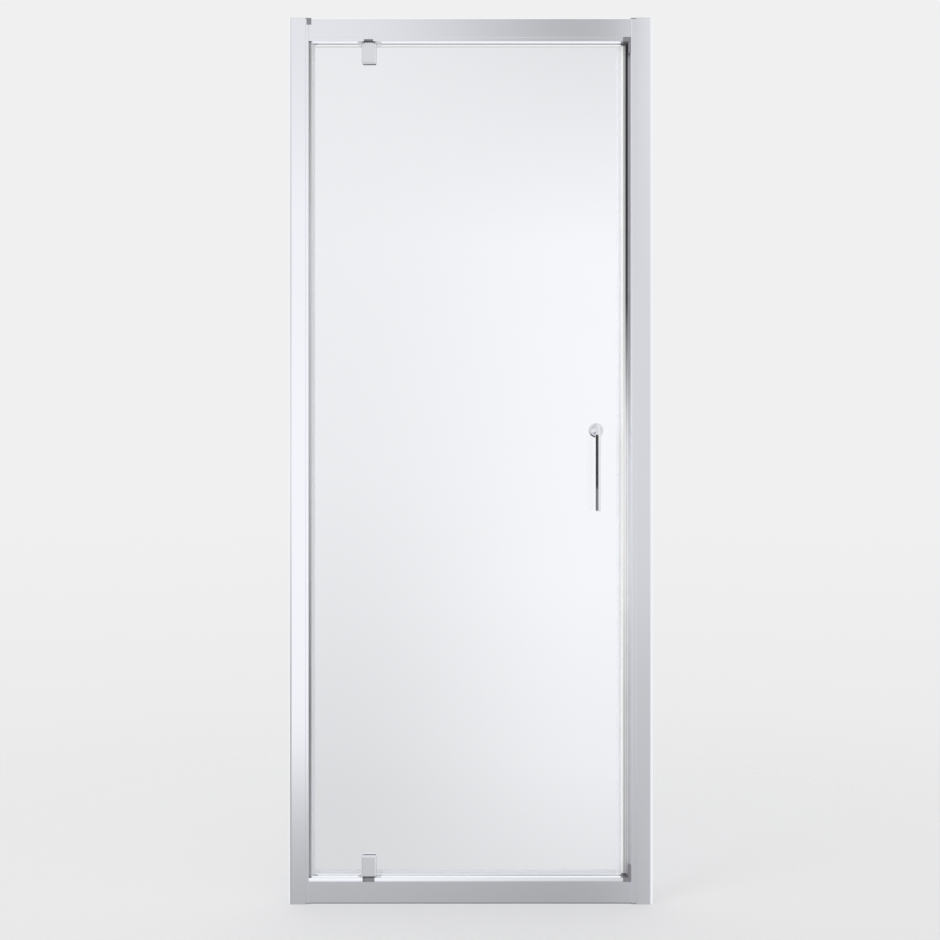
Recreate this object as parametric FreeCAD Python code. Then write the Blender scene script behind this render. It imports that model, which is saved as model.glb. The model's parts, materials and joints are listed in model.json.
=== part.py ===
import FreeCAD, Part

import os

from FreeCAD import Vector

# Pivot shower door, in millimetres. The origin is the middle of the sill's underside, on the
# middle plane of the glass. +X runs to the handle side, +Y into the shower, +Z up.
# Lengths across the frame are given as a depth in from the wall face of each side.

# ---- Driving dimensions -------------------------------------------------------------------

frame_width = 760.0
frame_height = 1850.0

# Wall channels: open U extrusions, screwed to the walls
channel_width = 35.0
channel_depth = 44.0
channel_wall = 1.6
channel_corner = 6.0
wall_hole_radius = 3.25
wall_hole_heights = (145.0, 665.0, 1185.0, 1705.0)

# Jambs: hollow extrusions that telescope in the channels
frame_depth = 40.0
jamb_start = 10.5
jamb_end = 46.5
jamb_wall = 1.6
jamb_round = 3.0
jamb_edge = 0.7
recess_start = 41.0
recess_depth = 6.0
seal_slot_inset = 2.3
slot_overcut = 0.5
plug_plate = 2.0
plug_height = 12.0
plug_gap = 0.2
lug_start = 36.9
lug_height = 12.0

# Clamp screws between channel and jamb, and how far they let the channel travel
clamp_inset = 26.0
clamp_heights = (300.0, 925.0, 1550.0)
clamp_radius = 2.0
clamp_hole_radius = 2.15
clamp_head_radius = 3.9
clamp_head_height = 2.2
slot_half_width = 2.4
travel_out = 9.0
travel_in = 6.0
nut_side = 9.0
nut_height = 3.2
nut_gap = 0.3
cover_radius = 6.5
cover_height = 4.0
cover_skin = 1.0
cover_round = 1.8

# Rails: hollow extrusions with two lips towards the glass
bottom_box_height = 46.0
top_box_height = 40.0
lip_height = 8.0
lip_thickness = 1.8
lip_set_back = 1.2
lip_bevel = 1.5
lip_lean = 1.0
rear_lip_height = 1.5
rail_wall = 1.8
rail_bevel = 2.5
port_offset = 8.0
port_radius = 1.8
port_wall = 2.7
port_web = 2.0
bottom_notch_width = 25.0
bottom_notch_depth = 8.0
top_notch_width = 19.0
top_notch_depth = 4.0
lip_groove_height = 2.0
lip_groove_depth = 0.8
end_block_start = 317.8
end_block_upright = 329.5
end_block_top = 79.0
end_block_back = 8.0
end_block_round = 2.0

# Corner screws from the jambs into the rails' ports
corner_radius = 1.75
corner_length = 26.0
corner_head_radius = 3.7
corner_head_height = 2.4
corner_hole_radius = 2.1
driver_hole_radius = 4.5

# Glass pane
glass_thickness = 6.0
glass_left = -330.0
glass_right = 315.5
glass_bottom = 59.0
glass_corner = 2.0
glass_bevel = 0.6

# Pivots
pivot_x = -214.0
block_length = 48.0
block_depth = 33.6
block_height = 5.5
block_round = 3.0
block_screw_offset = 18.0
block_screw_radius = 2.0
block_head_radius = 3.8
block_head_height = 1.9
block_screw_length = 12.0
pin_radius = 4.0
pin_root = 42.0
pin_tip = 70.0
pin_bevel = 0.8
running_gap = 0.05
washer_radius = 8.0
washer_thickness = 1.5
washer_gap = 0.3
bush_radius = 7.0
bush_flange_radius = 9.0
bush_flange = 2.0
bush_top = 72.0

# Clamp brackets on the glass
bracket_width = 30.0
bracket_bottom = 52.5
bracket_top = 96.5
plate_thickness = 8.0
gasket_thickness = 1.0
plate_round = 2.4
plate_corner = 3.6
foot_gap = 0.5
glass_notch_width = 17.0
glass_notch_start = 51.0
glass_notch_top = 76.0
glass_notch_round = 3.0
bracket_screw_z = 88.0
bracket_screw_radius = 3.0
bracket_screw_hole = 3.3
bracket_head_radius = 5.6
bracket_head_height = 3.0
bracket_thread_end = 9.0
bracket_glass_hole = 6.0
sleeve_radius = 5.8
pocket_gap = 0.05

# Seals
seal_leg = 10.0
seal_skin = 1.2
seal_front = 5.0
seal_grip_gap = 0.05
seal_in_recess = 4.6
magnet_line = 327.2
magnet_gap = 0.6
magnet_thickness = 2.3
magnet_back = 3.8
stop_leg_reach = 13.0
stop_gap = 0.4
tongue_stem = 2.8
tongue_head = 7.0
tongue_depth = 3.2
tongue_slot = 3.2
seal_end_gap = 1.0
fin_tip_gap = 0.4
fin_reach = 2.5
fin_thickness = 0.8
fin_root = 1.6
drip_leg = 5.0
drip_fin_drop = 3.2
drip_fin_reach = 5.0
bracket_clearance = 2.0

# Bar handle outside, and the round nut that holds it inside
handle_x = 262.5
handle_z = 989.0
handle_bottom = 821.0
handle_top = 1000.0
bar_radius = 5.25
bar_stand_off = 47.0
bar_end_round = 2.2
post_radius = 6.0
post_seat = 5.0
rosette_radius = 15.5
rosette_height = 8.0
rosette_round = 3.0
handle_gasket_radius = 14.5
handle_glass_hole = 7.0
handle_sleeve_radius = 6.8
stud_radius = 3.0
stud_clearance = 3.2
stud_outer_end = 22.0
stud_inner_end = 11.0
grub_radius = 2.0
grub_inset = 1.2
inner_cap_radius = 14.0
inner_cap_height = 12.0
inner_cap_round = 4.0
driver_slot_width = 2.0
driver_slot_depth = 2.2

# ---- Dimensions worked out from the ones above --------------------------------------------

half_width = frame_width / 2
half_depth = frame_depth / 2
half_glass = glass_thickness / 2
jamb_inner_x = half_width - jamb_end
lip_top = bottom_box_height + lip_height
glass_to_lip = glass_bottom - lip_top
glass_top = frame_height - top_box_height - lip_height - glass_to_lip
mirror_z = (glass_top + glass_bottom) / 2
bottom_port_z = bottom_box_height / 2
top_port_z = frame_height - top_box_height / 2
plate_inner = half_glass + gasket_thickness
plate_outer = plate_inner + plate_thickness
block_top = bottom_box_height + block_height
washer_top = block_top + washer_thickness
bush_bottom = washer_top + washer_gap
bush_shoulder = bush_bottom + bush_flange
recess_face = half_depth - recess_depth
lip_outer = half_depth - lip_set_back
lip_inner = lip_outer - lip_thickness
seal_pocket_x = glass_right + seal_skin
pane_seal_end = magnet_line - magnet_gap / 2
jamb_seal_end = magnet_line + magnet_gap / 2

X_AXIS = Vector(1, 0, 0)
Y_AXIS = Vector(0, 1, 0)
Z_AXIS = Vector(0, 0, 1)


# ---- Small shape helpers ------------------------------------------------------------------

def block(x_range, y_range, z_range):
    low = Vector(min(x_range), min(y_range), min(z_range))
    size = Vector(max(x_range), max(y_range), max(z_range)) - low
    return Part.makeBox(size.x, size.y, size.z, low)


def rod(radius, start, direction, length):
    return Part.makeCylinder(radius, length, Vector(*start), direction)


def prism_z(points, z_low, z_high):
    corners = [Vector(x, y, z_low) for x, y in points]
    face = Part.Face(Part.makePolygon(corners + corners[:1]))
    return face.extrude(Vector(0, 0, z_high - z_low))


def prism_x(points, x_low, x_high):
    corners = [Vector(x_low, y, z) for y, z in points]
    face = Part.Face(Part.makePolygon(corners + corners[:1]))
    return face.extrude(Vector(x_high - x_low, 0, 0))


def edges_at(shape, direction, places):
    """Straight edges along a direction whose middle lies over one of the places."""
    found = []
    for edge in shape.Edges:
        if edge.Curve.TypeId != "Part::GeomLine":
            continue
        if abs(edge.Curve.Direction.dot(direction)) < 0.999:
            continue
        middle = edge.CenterOfMass
        across = [a for a, d in zip(middle, direction) if abs(d) < 0.5]
        if any(abs(across[0] - p) + abs(across[1] - q) < 0.01 for p, q in places):
            found.append(edge)
    return found


def rounded(shape, radius, direction, places):
    return shape.makeFillet(radius, edges_at(shape, direction, places))


def joined(shapes):
    whole = shapes[0]
    for shape in shapes[1:]:
        whole = whole.fuse(shape)
    return whole.removeSplitter()


def without(shape, *cutters):
    for cutter in cutters:
        shape = shape.cut(cutter)
    return shape


def to_right(shape):
    """The same piece on the handle side."""
    return shape.mirror(Vector(0, 0, 0), X_AXIS)


def to_top(shape):
    """The same piece at the pane's top edge."""
    return shape.mirror(Vector(0, 0, mirror_z), Z_AXIS)


def to_inside(shape):
    """The same piece on the shower side of the glass."""
    return shape.mirror(Vector(0, 0, 0), Y_AXIS)


def left_x(depth_in):
    """Distance in from the left wall face, as an X."""
    return depth_in - half_width


# ---- Wall channels ------------------------------------------------------------------------

def wall_channel():
    outer = channel_depth / 2
    inner = outer - channel_wall
    body = block((left_x(0), left_x(channel_width)), (-outer, outer), (0, frame_height))
    body = rounded(body, channel_corner, Z_AXIS, [(left_x(0), -outer), (left_x(0), outer)])
    hollow = block(
        (left_x(channel_wall), left_x(channel_width + 1)), (-inner, inner), (-1, frame_height + 1)
    )
    web = left_x(channel_wall)
    hollow = rounded(hollow, channel_corner - channel_wall, Z_AXIS, [(web, -inner), (web, inner)])
    body = body.cut(hollow)
    for z in wall_hole_heights:
        body = body.cut(rod(wall_hole_radius, (left_x(-1), 0, z), X_AXIS, channel_wall + 2))
    for z in clamp_heights:
        start = (left_x(clamp_inset), inner - 1, z)
        body = body.cut(rod(clamp_hole_radius, start, Y_AXIS, channel_wall + 2))
    return body


def clamp_screw(z):
    seat = channel_depth / 2
    head = rod(clamp_head_radius, (left_x(clamp_inset), seat, z), Y_AXIS, clamp_head_height)
    rim = [e for e in head.Edges if e.Curve.TypeId == "Part::GeomCircle"]
    far_rim = [e for e in rim if e.CenterOfMass.y > seat + clamp_head_height / 2]
    head = head.makeFillet(clamp_head_height / 2, far_rim)
    nut_back = half_depth - jamb_wall - nut_height
    shank = rod(clamp_radius, (left_x(clamp_inset), nut_back - 1, z), Y_AXIS, seat - nut_back + 1)
    return joined([head, shank])


def clamp_nut(z):
    near = half_depth - jamb_wall - nut_gap
    half = nut_side / 2
    x = left_x(clamp_inset)
    nut = block((x - half, x + half), (near - nut_height, near), (z - half, z + half))
    return nut.cut(rod(clamp_radius, (x, near - nut_height - 1, z), Y_AXIS, nut_height + 2))


def screw_cover(z):
    seat = channel_depth / 2
    x = left_x(clamp_inset)
    dome = rod(cover_radius, (x, seat, z), Y_AXIS, cover_height)
    rims = [e for e in dome.Edges if e.Curve.TypeId == "Part::GeomCircle"]
    top_rim = [e for e in rims if e.CenterOfMass.y > seat + cover_height / 2]
    dome = dome.makeFillet(cover_round, top_rim)
    inside = rod(
        cover_radius - cover_skin, (x, seat - 1, z), Y_AXIS, cover_height - cover_skin + 1
    )
    return dome.cut(inside)


# ---- Jambs --------------------------------------------------------------------------------

def clamp_slots(jamb):
    """Slots through the jamb's inside wall that the clamp screws travel along."""
    near = left_x(clamp_inset - travel_out)
    far = left_x(clamp_inset + travel_in)
    wall_start = half_depth - jamb_wall - 1
    for z in clamp_heights:
        slot = block(
            (near, far),
            (wall_start, half_depth + 1),
            (z - slot_half_width, z + slot_half_width),
        )
        ends = [rod(slot_half_width, (x, wall_start, z), Y_AXIS, jamb_wall + 2) for x in (near, far)]
        jamb = without(jamb, slot, *ends)
    return jamb


def corner_screw_holes(jamb):
    """Clearance holes for the corner screws, and the wider ones that let a driver reach them."""
    for z in (bottom_port_z, top_port_z):
        for y in (-port_offset, port_offset):
            driver_start = (left_x(jamb_start - 1), y, z)
            screw_start = (left_x(jamb_end - jamb_wall - 1), y, z)
            jamb = jamb.cut(rod(driver_hole_radius, driver_start, X_AXIS, jamb_wall + 2))
            jamb = jamb.cut(rod(corner_hole_radius, screw_start, X_AXIS, jamb_wall + 2))
    return jamb


def lug_space(gap):
    """The corner of the left jamb and the top rail that the plug's lug fills."""
    return block(
        (left_x(lug_start - gap), left_x(jamb_end + gap)),
        (-half_depth - 1, -recess_face + gap),
        (frame_height - plug_plate - lug_height - gap, frame_height + 1),
    )


def left_jamb():
    start, end, recess = left_x(jamb_start), left_x(jamb_end), left_x(recess_start)
    w = jamb_wall
    outline = [
        (start, -half_depth),
        (recess, -half_depth),
        (recess, -recess_face),
        (end, -recess_face),
        (end, half_depth),
        (start, half_depth),
    ]
    hollow = [
        (start + w, -half_depth + w),
        (recess - w, -half_depth + w),
        (recess - w, -recess_face + w),
        (end - w, -recess_face + w),
        (end - w, half_depth - w),
        (start + w, half_depth - w),
    ]
    low, high = plug_plate, frame_height - plug_plate
    body = prism_z(outline, low, high)
    corners = [(start, -half_depth), (start, half_depth), (end, half_depth)]
    body = rounded(body, jamb_round, Z_AXIS, corners)
    body = rounded(body, jamb_edge, Z_AXIS, [(recess, -half_depth), (end, -recess_face)])
    body = body.cut(prism_z(hollow, low - 1, high + 1))
    slot_x = recess + seal_slot_inset
    half_slot = tongue_slot / 2
    seal_slot = block(
        (slot_x - half_slot, slot_x + half_slot),
        (-recess_face - 1, -recess_face + w + slot_overcut),
        (low - 1, high + 1),
    )
    body = body.cut(seal_slot)
    body = corner_screw_holes(clamp_slots(body))
    return body.cut(lug_space(plug_gap))


def right_jamb():
    start, end = left_x(jamb_start), left_x(jamb_end)
    w = jamb_wall
    low, high = plug_plate, frame_height - plug_plate
    body = block((start, end), (-half_depth, half_depth), (low, high))
    corners = [(x, y) for x in (start, end) for y in (-half_depth, half_depth)]
    body = rounded(body, jamb_round, Z_AXIS, corners)
    hollow = block(
        (start + w, end - w), (-half_depth + w, half_depth - w), (low - 1, high + 1)
    )
    half_slot = tongue_slot / 2
    slot_start = end - w - slot_overcut
    seal_slot = block((slot_start, end + 1), (-half_slot, half_slot), (low - 1, high + 1))
    body = without(body, hollow, seal_slot)
    return to_right(corner_screw_holes(clamp_slots(body)))


def jamb_plug(outline_recess, at_top):
    """A plate over the jamb's end with a plug inside its hollow."""
    start, end = left_x(jamb_start), left_x(jamb_end)
    fit = jamb_wall + plug_gap
    plate = block((start, end), (-half_depth, half_depth), (0, plug_plate))
    corners = [(start, -half_depth), (start, half_depth), (end, half_depth)]
    if not outline_recess:
        corners.append((end, -half_depth))
    plate = rounded(plate, jamb_round, Z_AXIS, corners)
    plug = block(
        (start + fit, end - fit), (-half_depth + fit, half_depth - fit), (plug_plate, plug_height)
    )
    core = block(
        (start + fit + jamb_wall, end - fit - jamb_wall),
        (-half_depth + fit + jamb_wall, half_depth - fit - jamb_wall),
        (plug_plate, plug_height + 1),
    )
    plug = plug.cut(core)
    if outline_recess:
        recess = left_x(recess_start)
        behind = (-half_depth - 1, -recess_face + fit)
        plug = plug.cut(block((recess - fit, end + 1), behind, (0, plug_height + 1)))
        if not at_top:
            corner = (-half_depth - 1, -recess_face)
            plate = plate.cut(block((recess, end + 1), corner, (-1, plug_height)))
    whole = joined([plate, plug])
    if at_top:
        whole = whole.mirror(Vector(0, 0, frame_height / 2), Z_AXIS)
    if outline_recess and at_top:
        lug = block(
            (left_x(lug_start), end),
            (-half_depth, -recess_face),
            (frame_height - plug_plate - lug_height, frame_height - plug_plate),
        )
        whole = joined([whole, lug])
    return whole


# ---- Rails --------------------------------------------------------------------------------

def bevelled_lip(box_height):
    """How a lip leaves the rail's face: over a bevel."""
    return [(half_depth, box_height), (lip_outer, box_height + lip_bevel)]


def grooved_lip(box_height):
    """How a leaning lip leaves the rail's face: over a ledge with a narrow groove above it."""
    groove = lip_outer - lip_groove_depth
    groove_top = box_height + lip_groove_height
    return [
        (half_depth, box_height),
        (groove, box_height),
        (groove, groove_top),
        (lip_outer + lip_lean, groove_top),
    ]


def rail_section(box_height, lip_start):
    """Outline of a rail that stands on z = 0: a tall lip outside, a low one to the shower."""
    outside = [
        (half_depth - rail_bevel, 0),
        (half_depth, rail_bevel),
        *lip_start(box_height),
        (lip_outer, box_height + lip_height),
        (lip_inner, box_height + lip_height),
        (lip_inner, box_height),
    ]
    rear_inner = half_depth - lip_thickness
    inside = [
        (half_depth - rail_bevel, 0),
        (half_depth, rail_bevel),
        (half_depth, box_height + rear_lip_height),
        (rear_inner, box_height + rear_lip_height),
        (rear_inner, box_height),
    ]
    return inside + [(-y, z) for y, z in reversed(outside)]


def rail(box_height, lip_start, notch_width, notch_depth):
    low, high = left_x(recess_start + plug_gap), jamb_inner_x
    solid = prism_x(rail_section(box_height, lip_start), low, high)
    inner_y = half_depth - rail_wall
    hollow = block((low - 1, high + 1), (-inner_y, inner_y), (rail_wall, box_height - rail_wall))
    port_z = box_height / 2
    for side in (-1, 1):
        y = side * port_offset
        port = rod(port_radius + port_wall, (low - 1, y, port_z), X_AXIS, high - low + 2)
        web = block(
            (low - 1, high + 1),
            (y, side * (inner_y + 1)),
            (port_z - port_web / 2, port_z + port_web / 2),
        )
        hollow = without(hollow, port, web)
    solid = solid.cut(hollow)
    for y in (-port_offset, port_offset):
        bore = rod(port_radius, (low - 1, y, port_z), X_AXIS, high - low + 2)
        solid = solid.cut(bore)
    jamb_side = block(
        (low - 1, -jamb_inner_x), (-recess_face - plug_gap, half_depth + 1), (-1, frame_height)
    )
    notch = block(
        (pivot_x - notch_width / 2, pivot_x + notch_width / 2),
        (-half_depth - 1, half_depth + 1),
        (box_height + lip_height - notch_depth, box_height + lip_height + 1),
    )
    lip_end = block(
        (end_block_start - plug_gap, high + 1),
        (-half_depth - 1, -lip_inner),
        (box_height, box_height + lip_height + 1),
    )
    solid = without(solid, jamb_side, notch, lip_end)
    for x in (pivot_x - block_screw_offset, pivot_x + block_screw_offset):
        start = (x, 0, box_height - rail_wall - 1)
        solid = solid.cut(rod(block_screw_radius, start, Z_AXIS, rail_wall + 2))
    pin_start = (pivot_x, 0, box_height - rail_wall - 1)
    return solid.cut(rod(pin_radius, pin_start, Z_AXIS, rail_wall + 2))


def bottom_rail():
    return rail(bottom_box_height, grooved_lip, bottom_notch_width, bottom_notch_depth)


def top_rail():
    upright = rail(top_box_height, bevelled_lip, top_notch_width, top_notch_depth)
    turned = upright.mirror(Vector(0, 0, frame_height / 2), Z_AXIS)
    return turned.cut(lug_space(plug_gap))


def seal_end_block():
    """The moulded block between the rail's lips that closes the end of the jamb's strip."""
    base = block(
        (end_block_start, jamb_inner_x),
        (-lip_outer, lip_inner - plug_gap),
        (bottom_box_height, lip_top),
    )
    upright = block(
        (end_block_upright, jamb_inner_x),
        (-lip_outer, -end_block_back),
        (bottom_box_height, end_block_top),
    )
    upright = rounded(upright, end_block_round, Y_AXIS, [(end_block_upright, end_block_top)])
    return joined([base, upright])


def corner_screw(y, z):
    """A pan head screw that stands inside the left jamb and runs into a rail's port."""
    seat = left_x(jamb_end - jamb_wall)
    head = rod(corner_head_radius, (seat - corner_head_height, y, z), X_AXIS, corner_head_height)
    shank = rod(corner_radius, (seat, y, z), X_AXIS, corner_length)
    return joined([head, shank])


def corner_screws():
    screws = []
    for z in (bottom_port_z, top_port_z):
        for y in (-port_offset, port_offset):
            screw = corner_screw(y, z)
            screws += [screw, to_right(screw)]
    return screws


# ---- Seals --------------------------------------------------------------------------------

def left_jamb_seal():
    """Soft strip in the jamb's recess. Its fin leans on the outside of the glass."""
    recess, end = left_x(recess_start), left_x(jamb_end)
    low, high = lip_top + seal_end_gap, glass_top + glass_to_lip - seal_end_gap
    front, back = -half_depth + seal_in_recess, -recess_face - plug_gap
    body = block((recess + plug_gap, end), (front, back), (low, high))
    tip_x, tip_y = glass_left + fin_reach, -half_glass - fin_tip_gap
    fin = prism_z(
        [
            (end, back - fin_root),
            (tip_x, tip_y - fin_thickness),
            (tip_x, tip_y),
            (end, back),
        ],
        low,
        high,
    )
    slot_x = recess + seal_slot_inset
    stem = block(
        (slot_x - tongue_stem / 2, slot_x + tongue_stem / 2),
        (back, -recess_face + jamb_wall + seal_skin),
        (low, high),
    )
    return joined([body, fin, stem])


def jamb_magnet_seal():
    """Strip on the closing jamb: a tongue in the jamb, a body and a stop leg."""
    face = jamb_inner_x
    body_x = jamb_seal_end + magnet_thickness
    low, high = lip_top + seal_end_gap, glass_top + glass_to_lip - seal_end_gap
    leg_front = seal_front + stop_gap
    leg_back = leg_front + seal_skin
    body = block((body_x, face), (-seal_front, leg_back), (low, high))
    holder = block((jamb_seal_end, body_x), (magnet_back, leg_back), (low, high))
    leg = block((face - stop_leg_reach, body_x), (leg_front, leg_back), (low, high))
    head_x = face + jamb_wall + plug_gap
    stem = block((face, head_x), (-tongue_stem / 2, tongue_stem / 2), (low, high))
    head = block(
        (head_x, head_x + tongue_depth - jamb_wall),
        (-tongue_head / 2, tongue_head / 2),
        (low, high),
    )
    return joined([body, holder, leg, stem, head])


def jamb_magnet():
    low, high = lip_top + seal_end_gap, glass_top + glass_to_lip - seal_end_gap
    x_range = (jamb_seal_end, jamb_seal_end + magnet_thickness)
    return block(x_range, (-seal_front, magnet_back), (low, high))


def pane_magnet():
    x_range = (pane_seal_end - magnet_thickness, pane_seal_end)
    return block(x_range, (-seal_front, magnet_back), (glass_bottom, glass_top))


def pane_magnet_seal():
    """Clip-on strip for the closing edge: two legs on the glass and a body for the magnet."""
    grip = half_glass + seal_grip_gap
    side = grip + seal_skin
    legs_x = glass_right - seal_leg
    past = (glass_bottom - 1, glass_top + 1)
    legs = block((legs_x, seal_pocket_x), (-side, side), (glass_bottom, glass_top))
    mouth = block((legs_x - 1, glass_right), (-grip, grip), past)
    body = block((seal_pocket_x, pane_seal_end), (-seal_front, seal_front), (glass_bottom, glass_top))
    body = rounded(body, seal_skin, Z_AXIS, [(pane_seal_end, seal_front)])
    core = block(
        (seal_pocket_x + seal_skin, pane_seal_end - magnet_thickness - seal_skin),
        (seal_skin - seal_front, seal_front - seal_skin),
        past,
    )
    return without(joined([legs.cut(mouth), body]), core, pane_magnet())


def drip_seal(x_low, x_high):
    """Clip-on strip under the glass, with a fin that leads drips back inside."""
    grip = half_glass + seal_grip_gap
    side = grip + seal_skin
    top = glass_bottom + drip_leg
    under = glass_bottom - seal_skin
    outline = [
        (-side, top),
        (-side, under),
        (side - seal_skin, under),
        (side + drip_fin_reach - seal_skin, under - drip_fin_drop),
        (side + drip_fin_reach, under - drip_fin_drop),
        (side, under + seal_skin),
        (side, top),
        (grip, top),
        (grip, glass_bottom),
        (-grip, glass_bottom),
        (-grip, top),
    ]
    return prism_x(outline, x_low, x_high)


def drip_seals():
    bracket_side = bracket_width / 2 + bracket_clearance
    short = drip_seal(glass_left + fin_reach + seal_end_gap, pivot_x - bracket_side)
    long = drip_seal(pivot_x + bracket_side, glass_right - seal_leg - seal_end_gap)
    return [short, long]


# ---- Pivots -------------------------------------------------------------------------------

def countersunk_screw(x, top, radius, head_radius, head_height, length):
    head = Part.makeCone(
        radius, head_radius, head_height, Vector(x, 0, top - head_height), Z_AXIS
    )
    shank = rod(radius, (x, 0, top - length), Z_AXIS, length - head_height)
    return joined([head, shank])


def block_screws():
    sizes = (block_screw_radius, block_head_radius, block_head_height, block_screw_length)
    places = (pivot_x - block_screw_offset, pivot_x + block_screw_offset)
    return [countersunk_screw(x, block_top, *sizes) for x in places]


def pivot_block():
    half_length, half_side = block_length / 2, block_depth / 2
    x_range = (pivot_x - half_length, pivot_x + half_length)
    body = block(x_range, (-half_side, half_side), (bottom_box_height, block_top))
    corners = [(x, y) for x in x_range for y in (-half_side, half_side)]
    body = rounded(body, block_round, Z_AXIS, corners)
    body = without(body, *block_screws())
    return body.cut(rod(pin_radius, (pivot_x, 0, 0), Z_AXIS, frame_height))


def pivot_pin():
    pin = rod(pin_radius, (pivot_x, 0, pin_root), Z_AXIS, pin_tip - pin_root)
    rims = [e for e in pin.Edges if e.Curve.TypeId == "Part::GeomCircle"]
    return pin.makeChamfer(pin_bevel, [e for e in rims if e.CenterOfMass.z > pin_tip - 1])


def thrust_washer():
    disc = rod(washer_radius, (pivot_x, 0, block_top), Z_AXIS, washer_thickness)
    return disc.cut(rod(pin_radius + pocket_gap, (pivot_x, 0, 0), Z_AXIS, frame_height))


def pivot_bush():
    flange = rod(bush_flange_radius, (pivot_x, 0, bush_bottom), Z_AXIS, bush_flange)
    body = rod(bush_radius, (pivot_x, 0, bush_bottom), Z_AXIS, bush_top - bush_bottom)
    bore = rod(pin_radius + running_gap, (pivot_x, 0, 0), Z_AXIS, frame_height)
    return joined([flange, body]).cut(bore)


# ---- Clamp brackets -----------------------------------------------------------------------

def bush_pocket():
    return rod(bush_radius + pocket_gap, (pivot_x, 0, 0), Z_AXIS, bush_top + pocket_gap)


def flange_pocket():
    depth = bush_shoulder + pocket_gap
    return rod(bush_flange_radius + pocket_gap, (pivot_x, 0, 0), Z_AXIS, depth)


def bracket_plate():
    """One clamp plate on the outside of the glass, its free corners rounded."""
    half = bracket_width / 2
    x_range = (pivot_x - half, pivot_x + half)
    plate = block(x_range, (-plate_outer, -plate_inner), (bracket_bottom, bracket_top))
    corners = [(x, bracket_top) for x in x_range]
    plate = rounded(plate, plate_corner, Y_AXIS, corners)
    face = [e for e in plate.Edges if abs(e.BoundBox.YMin + plate_outer) < 0.01]
    face = [e for e in face if e.BoundBox.YLength < 0.01]
    return plate.makeFillet(plate_round, face)


def front_bracket():
    thread = rod(
        bracket_screw_radius,
        (pivot_x, -bracket_thread_end, bracket_screw_z),
        Y_AXIS,
        bracket_thread_end,
    )
    return without(bracket_plate(), bush_pocket(), flange_pocket(), thread)


def back_bracket():
    """The inner plate: it has a foot under the glass and takes the screw's head."""
    half = bracket_width / 2
    foot = block(
        (pivot_x - half, pivot_x + half),
        (-plate_inner, plate_inner),
        (bracket_bottom, glass_bottom - foot_gap),
    )
    hole = rod(
        bracket_screw_hole, (pivot_x, 0, bracket_screw_z), Y_AXIS, plate_outer + 1
    )
    plate = joined([to_inside(bracket_plate()), foot])
    return without(plate, bush_pocket(), flange_pocket(), hole, bracket_screw_head())


def bracket_screw_head():
    return Part.makeCone(
        bracket_screw_radius,
        bracket_head_radius,
        bracket_head_height,
        Vector(pivot_x, plate_outer - bracket_head_height, bracket_screw_z),
        Y_AXIS,
    )


def bracket_screw():
    start = (pivot_x, -bracket_thread_end, bracket_screw_z)
    length = bracket_thread_end + plate_outer - bracket_head_height
    shank = rod(bracket_screw_radius, start, Y_AXIS, length)
    return joined([shank, bracket_screw_head()])


def screw_sleeve():
    tube = rod(sleeve_radius, (pivot_x, -half_glass, bracket_screw_z), Y_AXIS, glass_thickness)
    start = (pivot_x, -half_glass - 1, bracket_screw_z)
    return tube.cut(rod(bracket_screw_hole, start, Y_AXIS, glass_thickness + 2))


def glass_notch():
    """The notch in the pane's edge that leaves room for the bush."""
    half = glass_notch_width / 2
    x_range = (pivot_x - half, pivot_x + half)
    notch = block(x_range, (-plate_outer, plate_outer), (glass_notch_start, glass_notch_top))
    return rounded(notch, glass_notch_round, Y_AXIS, [(x, glass_notch_top) for x in x_range])


def bracket_gaskets():
    half = bracket_width / 2 - 1
    pad = block(
        (pivot_x - half, pivot_x + half),
        (-plate_inner, -half_glass),
        (glass_bottom + 1, bracket_top - 1),
    )
    hole = rod(
        bracket_glass_hole, (pivot_x, -plate_inner - 1, bracket_screw_z), Y_AXIS, plate_outer
    )
    pad = without(pad, hole, glass_notch())
    return [pad, to_inside(pad)]


# ---- Glass --------------------------------------------------------------------------------

def glass_pane():
    pane = block((glass_left, glass_right), (-half_glass, half_glass), (glass_bottom, glass_top))
    corners = [(x, z) for x in (glass_left, glass_right) for z in (glass_bottom, glass_top)]
    pane = rounded(pane, glass_corner, Y_AXIS, corners)
    pane = pane.makeChamfer(glass_bevel, [e for e in pane.Edges if e.BoundBox.YLength < 0.01])
    start = (pivot_x, -half_glass - 1, bracket_screw_z)
    bracket_hole = rod(bracket_glass_hole, start, Y_AXIS, glass_thickness + 2)
    handle_start = (handle_x, -half_glass - 1, handle_z)
    handle_hole = rod(handle_glass_hole, handle_start, Y_AXIS, glass_thickness + 2)
    notch = glass_notch()
    return without(pane, bracket_hole, to_top(bracket_hole), handle_hole, notch, to_top(notch))


# ---- Handles ------------------------------------------------------------------------------

def handle_bar():
    start = (handle_x, -bar_stand_off, handle_bottom)
    bar = rod(bar_radius, start, Z_AXIS, handle_top - handle_bottom)
    rims = [e for e in bar.Edges if e.Curve.TypeId == "Part::GeomCircle"]
    return bar.makeFillet(bar_end_round, rims)


def handle_post():
    """The short tube between rosette and bar, coped to the bar and tapped for the stud."""
    seat = plate_for_rosette() + post_seat
    length = bar_stand_off - seat
    post = rod(post_radius, (handle_x, -bar_stand_off, handle_z), Y_AXIS, length)
    bar = rod(bar_radius, (handle_x, -bar_stand_off, 0), Z_AXIS, frame_height)
    beyond = block((0, half_width), (-2 * bar_stand_off, -bar_stand_off), (0, frame_height))
    return without(post, bar, beyond, handle_stud())


def plate_for_rosette():
    """How far from the glass's middle the rosette and the inner nut start."""
    return half_glass + gasket_thickness


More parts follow.
